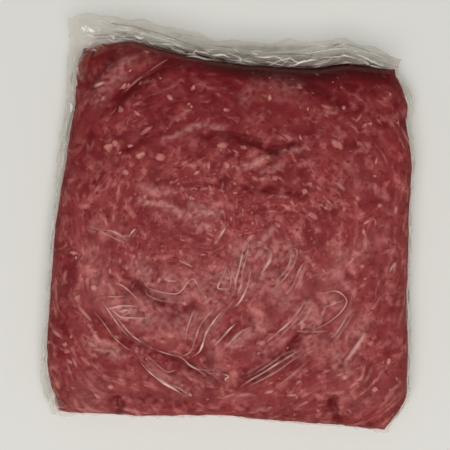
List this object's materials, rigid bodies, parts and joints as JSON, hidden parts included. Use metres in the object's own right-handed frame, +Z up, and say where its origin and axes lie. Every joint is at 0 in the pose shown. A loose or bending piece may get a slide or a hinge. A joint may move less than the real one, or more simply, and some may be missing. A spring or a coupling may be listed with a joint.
{
  "type": "vacuum pack of minced beef",
  "caption": "Flat clear vacuum pouch packed with raw minced beef, with a sealed film margin round it and a crumpled film tail past the seal at one end.",
  "frame": {"origin": "centre of the bag's outline seen from above, on the surface that it lies on", "axes": "+Z up, out of the face of the flat bag; +Y along the bag, towards its sealed mouth; +X to the right when it is seen from above with the mouth at the far end"},
  "size_m": [0.2385, 0.2651, 0.0414],
  "materials": {
    "minced_beef": "raw minced beef seen through tight clear film: coarse strands of dark red lean, soft shine from the film over it",
    "beef_fat": "small soft flecks of pinkish cream fat pressed flat in the mince",
    "clear_film": "clear multilayer vacuum pouch film, wrinkled and glossy",
    "meat_juice": "dark red meat juice gathered under the film in the corners at the seal"
  },
  "bodies": {
    "root": {"sealed_bag_of_mince": "minced_beef"}
  },
  "joints": []
}
